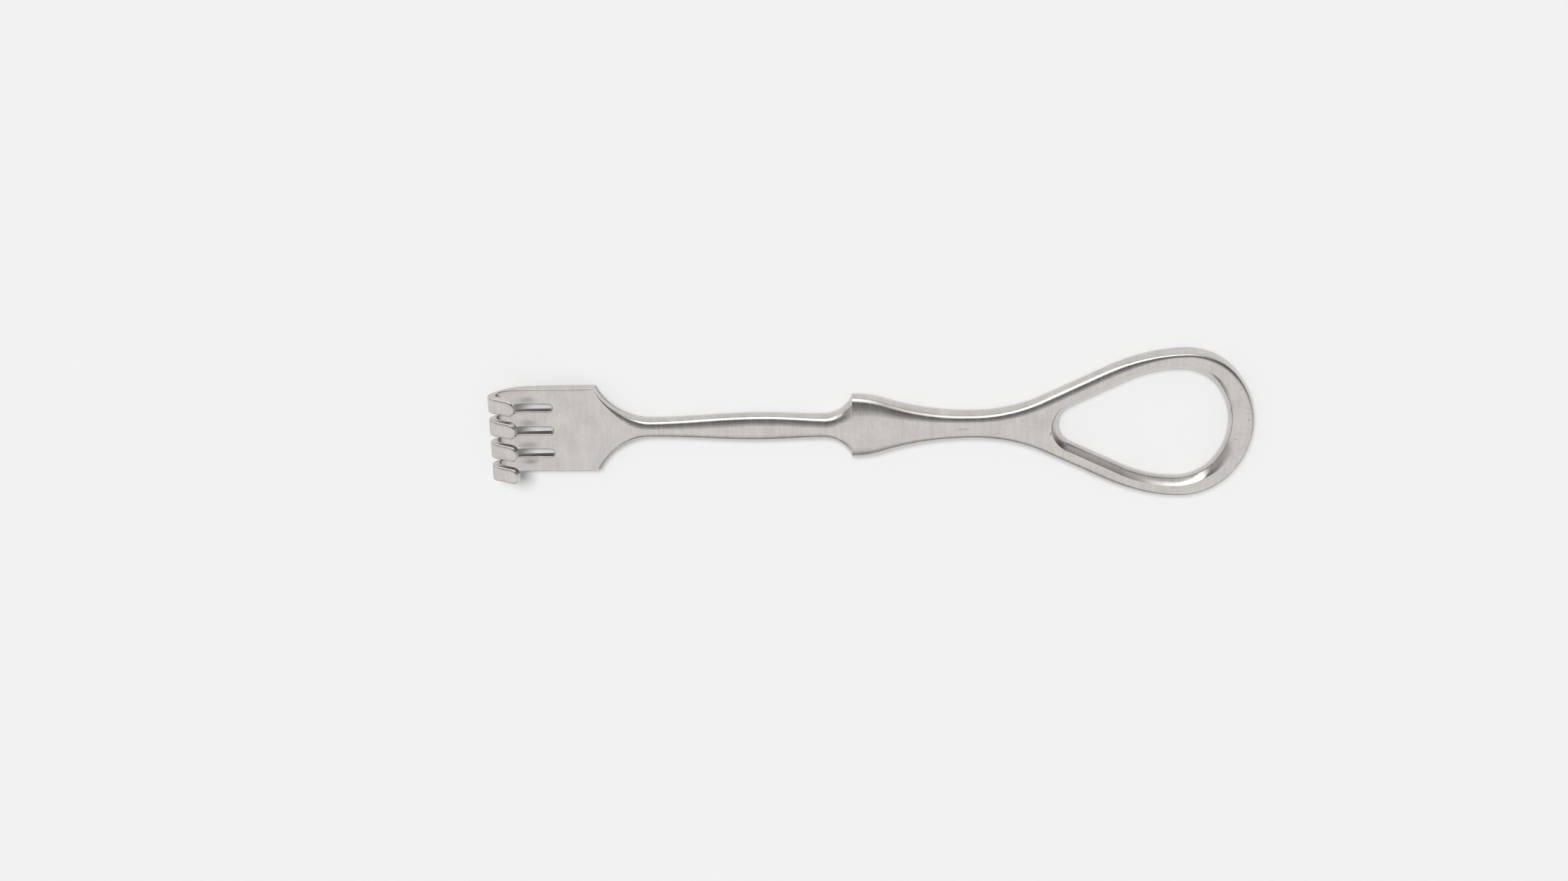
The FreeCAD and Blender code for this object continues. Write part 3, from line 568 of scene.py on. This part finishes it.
def buildHead():
    skin = Shell()
    radius = forging["edgeRadius"]
    turns = quarterTurns(head["edgeSteps"])
    rows = []
    for face, order in (("fromFront", turns), ("fromBack", turns[::-1])):
        for turn in order:
            sunk = {face: radius * (1 - math.cos(turn))}
            outline = headOutline(radius * (1 - math.sin(turn)))
            rows.append(skin.addRow([layOnCurl(u, y, **sunk) for u, y in outline]))
    for row, nextRow in zip(rows, rows[1:]):
        skin.bridge(row, nextRow)

    # Both faces share one pattern of triangles, dense enough to carry the wear.
    flat = headOutline(radius)
    polygon = np.array(flat)
    halfFlat = forging["halfBlade"] - radius
    across = np.linspace(-halfFlat, halfFlat, int(2 * forging["halfBlade"] / head["across"]))
    inner = []
    for u in reachAlong:
        if head["endGap"] < u < headLength - head["endGap"]:
            inner += [(float(u), float(y)) for y in across
                      if insideOutline(u, y, polygon) and nearest(u, y, polygon) > head["faceGap"]]
    vertices = [Vector(point) for point in flat + inner]
    edges = [(i, (i + 1) % len(flat)) for i in range(len(flat))]
    places, _, triangles, sources, _, _ = delaunay_2d_cdt(vertices, edges, [], 1, head["tolerance"])
    for front in (True, False):
        ids = []
        for place, source in zip(places, sources):
            if source and source[0] < len(flat):
                ids.append(rows[0 if front else -1][source[0]])
            else:
                sunk = {"fromFront" if front else "fromBack": 0}
                ids.append(skin.addRow([layOnCurl(*place, **sunk)])[0])
        for face in triangles:
            corners = tuple(ids[i] for i in face)
            first, second, third = (places[i] for i in face)
            seenFromFront = (second - first).cross(third - first) < 0
            skin.faces.append(corners if seenFromFront == front else tuple(reversed(corners)))
    print("blade and prongs drawn,", len(skin.faces), "faces")
    return skin


# How the three shells become one skin. Distances in metres, the angle in degrees.
seams = {
    "meet": 2e-6,
    "shortest": 1e-7,
    "sharpAngle": 32,
    "largeFaces": 80,  # their weight in the shading, where 50 is even
}


# One closed skin from shells whose rims meet point for point.
def weld(name, shells):
    points, faces = [], []
    for skin in shells:
        offset = len(points)
        points += [(x / 1000, y / 1000, z / 1000) for x, y, z in skin.points]
        faces += [tuple(i + offset for i in face) for face in skin.faces]
    mesh = bpy.data.meshes.new(name)
    mesh.from_pydata(points, [], faces)
    work = bmesh.new()
    work.from_mesh(mesh)
    bmesh.ops.remove_doubles(work, verts=work.verts, dist=seams["meet"])
    bmesh.ops.dissolve_degenerate(work, edges=work.edges, dist=seams["shortest"])
    bmesh.ops.recalc_face_normals(work, faces=work.faces)
    for face in work.faces:
        face.smooth = True
    limit = math.radians(seams["sharpAngle"])
    for edge in work.edges:
        edge.smooth = len(edge.link_faces) == 2 and edge.calc_face_angle(0) < limit
    openEdges = sum(1 for edge in work.edges if len(edge.link_faces) != 2)
    print(name, "welded,", len(work.faces), "faces,", openEdges, "open edges,",
          round(work.calc_volume(signed=True) * 1e9), "mm3")
    work.to_mesh(mesh)
    work.free()
    # Share of each front point in the hollows beside the slots, where the steel gets painted shade.
    shadedHollows = mesh.attributes.new("shadedHollows", "FLOAT", "POINT")
    for vertex, value in zip(mesh.vertices, shadedHollows.data):
        x, y, z = vertex.co * 1000
        if z > forging["midZ"]:
            value.value = groundShare(forging["bladeX"] - x, y)
    piece = bpy.data.objects.new(name, mesh)
    bpy.context.scene.collection.objects.link(piece)
    flatten = piece.modifiers.new("flatten", "WEIGHTED_NORMAL")
    flatten.keep_sharp = True
    flatten.weight = seams["largeFaces"]
    return piece


# Linear colour from a six-figure sRGB hex.
def linearColour(text):
    levels = [int(text[i:i + 2], 16) / 255 for i in (0, 2, 4)]
    linear = [level / 12.92 if level <= 0.04045 else ((level + 0.055) / 1.055) ** 2.4 for level in levels]
    return linear + [1.0]


# Adds one shader node. A key is a socket's name or number, or else a property of the node.
def addNode(tree, kind, settings=None, links=None):
    node = tree.nodes.new(kind)
    for key, value in (settings or {}).items():
        if isinstance(key, int) or key in node.inputs:
            node.inputs[key].default_value = value
        else:
            setattr(node, key, value)
    for key, socket in (links or {}).items():
        tree.links.new(socket, node.inputs[key])
    return node


# Finish of the steel. Sizes in millimetres.
steel = {
    "tints": ((0.3, "CDC8C4"), (0.7, "D9D5D1")),  # level of the clouds and its colour
    "cloudSize": 6.25,
    "streakSize": (1.1, 6.9, 2.8),  # longest along Y, the way the blade was drawn over the wheel
    "grainSize": 0.14,
    "cutSize": (3.8, 0.28, 3.8),
    # Two levels of a noise, and the results between which it is spread.
    "streakLight": (0.35, 0.65, 0.912, 1.0),
    "grainLight": (0.3, 0.7, 0.93, 1.04),
    "cutShare": (0.3, 0.65, 0.5, 1.0),
    "cloudRoughness": (0.3, 0.7, 0.15, 0.22),
    "streakRoughness": (0.35, 0.65, -0.03, 0.03),
    "paintedHollowShade": 0.42,  # painted shade: share of light taken off in the hollows beside the slots
    "streakHeight": 0.6,
    "scratchHeight": 0.6,
    "bumpStrength": 0.16,
    "bumpDepth": 0.02,
    # Angle in degrees, width, length, and the noise level above which a scratch starts.
    "scratches": ((12, 0.15, 7.7, 0.66), (-38, 0.19, 5.9, 0.685), (74, 0.17, 6.7, 0.67)),
    "scratchEdge": 0.04,
    "scratchLight": 0.11,
    "scuffedFrom": 97.0,  # along X, towards the scuffed end of the loop
    "scuffedAll": 106.0,
    "scuffedElsewhere": 0.35,
    # Place along X and Y, half size along X and Y, and how much light the mark keeps.
    "spots": (
        ((68.37, -11.01), (0.30, 0.28), 0.25),
        ((50.51, -1.89), (0.40, 0.62), 0.62),
        ((25.70, -0.15), (2.20, 0.32), 0.78),
        ((-4.57, 6.22), (0.30, 0.60), 0.80),
        ((103.60, 11.29), (0.30, 0.30), 0.60),
        ((106.22, 1.81), (0.25, 0.45), 0.66),
        ((102.82, -4.27), (0.50, 0.22), 0.66),
    ),
    "spotEdge": (0.4, 1.2),  # in half sizes: dark inside the first, gone beyond the second
}


# Thin straight lines one way, as a mask from 0 to 1.
def scratchMask(tree, where, angle, width, length, threshold):
    turned = addNode(tree, "ShaderNodeVectorRotate",
                     {"rotation_type": "Z_AXIS", "Angle": math.radians(angle)}, {"Vector": where})
    drawn = addNode(tree, "ShaderNodeVectorMath",
                    {"operation": "MULTIPLY", 1: (1000 / length, 1000 / width, 1000 / length)},
                    {0: turned.outputs["Vector"]})
    noise = addNode(tree, "ShaderNodeTexNoise", {"Scale": 1.0, "Detail": 0.0},
                    {"Vector": drawn.outputs["Vector"]})
    return addNode(tree, "ShaderNodeMapRange",
                   {"From Min": threshold, "From Max": threshold + steel["scratchEdge"]},
                   {"Value": noise.outputs["Fac"]}).outputs["Result"]


# Factor on the light that falls to the kept share inside one small mark.
def spotLight(tree, where, middle, halfSize, kept):
    centred = addNode(tree, "ShaderNodeVectorMath",
                      {"operation": "SUBTRACT", 1: (middle[0] / 1000, middle[1] / 1000, 0)}, {0: where})
    scaled = addNode(tree, "ShaderNodeVectorMath",
                     {"operation": "MULTIPLY", 1: (1000 / halfSize[0], 1000 / halfSize[1], 0)},
                     {0: centred.outputs["Vector"]})
    reach = addNode(tree, "ShaderNodeVectorMath", {"operation": "LENGTH"}, {0: scaled.outputs["Vector"]})
    inside, beyond = steel["spotEdge"]
    return addNode(tree, "ShaderNodeMapRange",
                   {"From Min": inside, "From Max": beyond, "To Min": kept, "To Max": 1.0},
                   {"Value": reach.outputs["Value"]}).outputs["Result"]


# Satin stainless steel: pale warm grey, softly streaked, with fine scuffs and scratches.
def satinSteel():
    material = bpy.data.materials.new("satin stainless steel")
    material.use_nodes = True
    tree = material.node_tree
    tree.nodes.clear()
    where = addNode(tree, "ShaderNodeTexCoord").outputs["Object"]

    # Object coordinates are in metres, so a scale is 1000 over a size in millimetres.
    # Broad clouds where the satin is rubbed smoother or left coarser.
    clouds = addNode(tree, "ShaderNodeTexNoise",
                     {"Scale": 1000 / steel["cloudSize"], "Detail": 3.0, "Roughness": 0.55},
                     {"Vector": where})
    # Faint streaks of the wheel.
    stretched = addNode(tree, "ShaderNodeMapping",
                        {"Scale": [1000 / size for size in steel["streakSize"]]}, {"Vector": where})
    streaks = addNode(tree, "ShaderNodeTexNoise", {"Scale": 1.0, "Detail": 4.0, "Roughness": 0.6},
                      {"Vector": stretched.outputs["Vector"]})
    # Blasted grain, drawn coarser than the real one so that it shows.
    grain = addNode(tree, "ShaderNodeTexNoise",
                    {"Scale": 1000 / steel["grainSize"], "Detail": 2.0, "Roughness": 0.5},
                    {"Vector": where})
    # Cuts of the wheel in the hollows beside the slots, along X, which break up the painted shade there.
    cut = addNode(tree, "ShaderNodeVectorMath",
                  {"operation": "MULTIPLY", 1: [1000 / size for size in steel["cutSize"]]}, {0: where})
    cuts = addNode(tree, "ShaderNodeTexNoise", {"Scale": 1.0, "Detail": 2.0},
                   {"Vector": cut.outputs["Vector"]})

    tint = addNode(tree, "ShaderNodeValToRGB", links={"Fac": clouds.outputs["Fac"]})
    for element, (position, colour) in zip(tint.color_ramp.elements, steel["tints"]):
        element.position = position
        element.color = linearColour(colour)
    spread = {}
    for name, noise in (("streakLight", streaks), ("grainLight", grain), ("cutShare", cuts),
                        ("cloudRoughness", clouds), ("streakRoughness", streaks)):
        low, high, first, last = steel[name]
        spread[name] = addNode(tree, "ShaderNodeMapRange",
                               {"From Min": low, "From Max": high, "To Min": first, "To Max": last},
                               {"Value": noise.outputs["Fac"]}).outputs["Result"]

    # Handling scratches, denser on the scuffed end of the loop.
    apart = addNode(tree, "ShaderNodeSeparateXYZ", links={"Vector": where})
    scuffed = addNode(tree, "ShaderNodeMapRange",
                      {"From Min": steel["scuffedFrom"] / 1000, "From Max": steel["scuffedAll"] / 1000,
                       "To Min": steel["scuffedElsewhere"], "To Max": 1.0}, {"Value": apart.outputs["X"]})
    masks = [scratchMask(tree, where, *scratch) for scratch in steel["scratches"]]
    scratched = masks[0]
    for mask in masks[1:]:
        scratched = addNode(tree, "ShaderNodeMath", {"operation": "ADD"},
                            {0: scratched, 1: mask}).outputs[0]
    scratched = addNode(tree, "ShaderNodeMath", {"operation": "MULTIPLY"},
                        {0: scratched, 1: scuffed.outputs["Result"]}).outputs[0]
    scratchLight = addNode(tree, "ShaderNodeMath",
                           {"operation": "MULTIPLY_ADD", 1: -steel["scratchLight"], 2: 1.0}, {0: scratched})

    # Painted shade in the hollows the wheel left beside the slots, broken up along its cut.
    shadedHollows = addNode(tree, "ShaderNodeAttribute", {"attribute_name": "shadedHollows"})
    shadedCuts = addNode(tree, "ShaderNodeMath", {"operation": "MULTIPLY"},
                  {0: shadedHollows.outputs["Fac"], 1: spread["cutShare"]})
    paintedHollowShade = addNode(tree, "ShaderNodeMath",
                          {"operation": "MULTIPLY_ADD", 1: -steel["paintedHollowShade"], 2: 1.0},
                          {0: shadedCuts.outputs[0]})

    # What every kind of mark leaves of the light, multiplied one by one.
    light = scratchLight.outputs[0]
    factors = [paintedHollowShade.outputs[0]] + [spotLight(tree, where, *spot) for spot in steel["spots"]]
    for factor in factors + [spread["grainLight"], spread["streakLight"]]:
        light = addNode(tree, "ShaderNodeMath", {"operation": "MULTIPLY"},
                        {0: light, 1: factor}).outputs[0]
    lit = addNode(tree, "ShaderNodeVectorMath", {"operation": "SCALE"},
                  {"Vector": tint.outputs["Color"], "Scale": light})
    roughness = addNode(tree, "ShaderNodeMath", {"operation": "ADD"},
                        {0: spread["cloudRoughness"], 1: spread["streakRoughness"]})

    # Streaks and grain stand up, scratches go down.
    sunk = addNode(tree, "ShaderNodeMath", {"operation": "MULTIPLY_ADD", 1: -steel["scratchHeight"]},
                   {0: scratched, 2: grain.outputs["Fac"]})
    height = addNode(tree, "ShaderNodeMath", {"operation": "MULTIPLY_ADD", 1: steel["streakHeight"]},
                     {0: streaks.outputs["Fac"], 2: sunk.outputs[0]})
    bump = addNode(tree, "ShaderNodeBump",
                   {"Strength": steel["bumpStrength"], "Distance": steel["bumpDepth"] / 1000},
                   {"Height": height.outputs[0]})
    shader = addNode(tree, "ShaderNodeBsdfPrincipled", {"Metallic": 1.0},
                     {"Base Color": lit.outputs["Vector"], "Roughness": roughness.outputs[0],
                      "Normal": bump.outputs["Normal"]})
    addNode(tree, "ShaderNodeOutputMaterial", links={"Surface": shader.outputs["BSDF"]})
    return material


retractor = weld("retractor-skin", [buildShaft(), buildLoop(), buildHead()])
retractor.data.materials.append(satinSteel())
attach(retractor, "root")
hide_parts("retractor")
print("forging finished in satin steel")

# Floor: one pale sheet far wider than the view. Reach in metres.
floor = {"reach": 3.0, "colour": "EFEFEF", "roughness": 0.75}
floorMesh = bpy.data.meshes.new("floor")
reach = floor["reach"]
floorMesh.from_pydata([(-reach, -reach, 0), (reach, -reach, 0), (reach, reach, 0), (-reach, reach, 0)], [],
                      [(0, 1, 2, 3)])
floorPiece = bpy.data.objects.new("floor", floorMesh)
bpy.context.scene.collection.objects.link(floorPiece)
# Matt white laminate: an even pale ground that takes a soft shadow and shows no reflection.
floorPaint = bpy.data.materials.new("matt white laminate")
floorPaint.use_nodes = True
floorShader = floorPaint.node_tree.nodes["Principled BSDF"]
floorShader.inputs["Base Color"].default_value = linearColour(floor["colour"])
floorShader.inputs["Roughness"].default_value = floor["roughness"]
floorMesh.materials.append(floorPaint)
print("floor laid")

# Camera where the photograph was taken: 64 degrees above the tool, over its upper bar.
# Angles in degrees, places in metres, the lens in millimetres.
camera = {"elevation": 64.0, "azimuth": 1.14, "roll": -1.13, "distance": 0.7285,
          "target": (-0.02505, -0.00447, 0.0035), "lens": 58.7, "sensor": 36}
tilt, swing, roll = (math.radians(camera[key]) for key in ("elevation", "azimuth", "roll"))
backwards = Vector((math.sin(swing), math.cos(swing) * math.cos(tilt), math.cos(swing) * math.sin(tilt)))
level = Vector((0, 1, 0)).cross(backwards).normalized()
above = backwards.cross(level)
rightwards = math.cos(roll) * level + math.sin(roll) * above
upwards = -math.sin(roll) * level + math.cos(roll) * above
view = bpy.data.cameras.new("view")
view.sensor_width = camera["sensor"]
view.lens = camera["lens"]
viewer = bpy.data.objects.new("view", view)
stand = Vector(camera["target"]) + backwards * camera["distance"]
viewer.matrix_world = Matrix((
    (rightwards[0], upwards[0], backwards[0], stand[0]),
    (rightwards[1], upwards[1], backwards[1], stand[1]),
    (rightwards[2], upwards[2], backwards[2], stand[2]),
    (0, 0, 0, 1)))
bpy.context.scene.collection.objects.link(viewer)
bpy.context.scene.camera = viewer
print("camera placed")

# Studio: a pale tent, dim where the camera stands, bright over the upper bar.
studio = {
    # Angle from straight up towards +Y in degrees, and the level seen in the metal.
    "tent": ((-90, 0.3), (-74, 0.4), (-60, 0.8), (-46, 0.95), (-18, 0.95), (-6, 0.62), (14, 0.3),
             (38, 0.17), (50, 0.2), (66, 0.5), (90, 0.85)),
    "strip": ((44, 0.0), (51, 2.1), (66, 2.1), (73, 0.0)),
    "leftFill": ((-6, 0.0), (20, 0.24), (55, 0.24), (80, 0.0)),
    # Where each change starts and ends, from -1 at the left to 1, and the share before and after.
    "stripRight": (0.0, 0.5, 1.0, 0.08),
    "stripLeft": (-0.8, -0.5, 0.0, 1.0),
    "tentRight": (0.6, 0.95, 1.0, 0.6),
    "roundness": 0.3,  # 0 draws straight bands along X, 1 draws them round the tool
    "plainLevel": 0.42,  # level that lights everything but reflections
    "sunPower": 2.5,
    "sunLeans": (27.0, 8.0),  # lean of the lamp from overhead, towards +Y and towards -X
    "sunSpread": 22.0,
}
world = bpy.data.worlds.new("studio")
world.use_nodes = True
sky = world.node_tree
sky.nodes.clear()
incoming = addNode(sky, "ShaderNodeNewGeometry")
outgoing = addNode(sky, "ShaderNodeVectorMath", {"operation": "MULTIPLY", 1: (-1, -1, -1)},
                   {0: incoming.outputs["Incoming"]})
aim = addNode(sky, "ShaderNodeSeparateXYZ", links={"Vector": outgoing.outputs["Vector"]})

# Angle from straight up towards +Y, as a share from 0 to 1.
sideSquare = addNode(sky, "ShaderNodeMath", {"operation": "MULTIPLY"},
                     {0: aim.outputs["X"], 1: aim.outputs["X"]})
upSquare = addNode(sky, "ShaderNodeMath", {"operation": "MULTIPLY"},
                   {0: aim.outputs["Z"], 1: aim.outputs["Z"]})
square = addNode(sky, "ShaderNodeMath", {"operation": "MULTIPLY_ADD", 1: studio["roundness"]},
                 {0: sideSquare.outputs[0], 2: upSquare.outputs[0]})
away = addNode(sky, "ShaderNodeMath", {"operation": "SQRT"}, {0: square.outputs[0]})
angle = addNode(sky, "ShaderNodeMath", {"operation": "ARCTAN2"},
                {0: aim.outputs["Y"], 1: away.outputs[0]})
share = addNode(sky, "ShaderNodeMapRange", {"From Min": -math.pi / 2, "From Max": math.pi / 2},
                {"Value": angle.outputs[0]})
bands = {}
for name in ("tent", "strip", "leftFill"):
    ramp = addNode(sky, "ShaderNodeValToRGB", links={"Fac": share.outputs["Result"]})
    ramp.color_ramp.interpolation = "EASE"
    while len(ramp.color_ramp.elements) < len(studio[name]):
        ramp.color_ramp.elements.new(0.5)
    for element, (degrees, brightness) in zip(ramp.color_ramp.elements, studio[name]):
        element.position = (degrees + 90) / 180
        element.color = (brightness, brightness, brightness, 1)
    bands[name] = ramp.outputs["Color"]

# The strip ends short of both sides. The fill takes over on the left, and the tent dims on the right.
sides = {}
for name in ("stripRight", "stripLeft", "tentRight"):
    start, end, before, after = studio[name]
    sides[name] = addNode(sky, "ShaderNodeMapRange",
                          {"From Min": start, "From Max": end, "To Min": before, "To Max": after},
                          {"Value": aim.outputs["X"]}).outputs["Result"]
cutRight = addNode(sky, "ShaderNodeMath", {"operation": "MULTIPLY"},
                   {0: bands["strip"], 1: sides["stripRight"]})
strip = addNode(sky, "ShaderNodeMath", {"operation": "MULTIPLY"},
                {0: cutRight.outputs[0], 1: sides["stripLeft"]})
leftShare = addNode(sky, "ShaderNodeMath", {"operation": "SUBTRACT", 0: 1.0}, {1: sides["stripLeft"]})
filled = addNode(sky, "ShaderNodeMath", {"operation": "MULTIPLY_ADD"},
                 {0: bands["leftFill"], 1: leftShare.outputs[0], 2: strip.outputs[0]})
total = addNode(sky, "ShaderNodeMath", {"operation": "MULTIPLY_ADD"},
                {0: bands["tent"], 1: sides["tentRight"], 2: filled.outputs[0]})

# Reflections see the tent and strip, and everything else is lit by one plain level.
seen = addNode(sky, "ShaderNodeBackground", {"Strength": 1.0}, {"Color": total.outputs[0]})
plain = addNode(sky, "ShaderNodeBackground", {"Strength": studio["plainLevel"]})
ray = addNode(sky, "ShaderNodeLightPath")
chosen = addNode(sky, "ShaderNodeMixShader", links={
    "Fac": ray.outputs["Is Glossy Ray"], 1: plain.outputs["Background"], 2: seen.outputs["Background"]})
addNode(sky, "ShaderNodeOutputWorld", links={"Surface": chosen.outputs["Shader"]})
bpy.context.scene.world = world

sun = bpy.data.lights.new("soft-sun", "SUN")
sun.energy = studio["sunPower"]
sun.angle = math.radians(studio["sunSpread"])
sunPiece = bpy.data.objects.new("soft-sun", sun)
sunPiece.rotation_euler = [math.radians(-lean) for lean in studio["sunLeans"]] + [0]
sunPiece.visible_glossy = False
bpy.context.scene.collection.objects.link(sunPiece)
bpy.context.scene.view_settings.view_transform = "Standard"
print("studio ready")
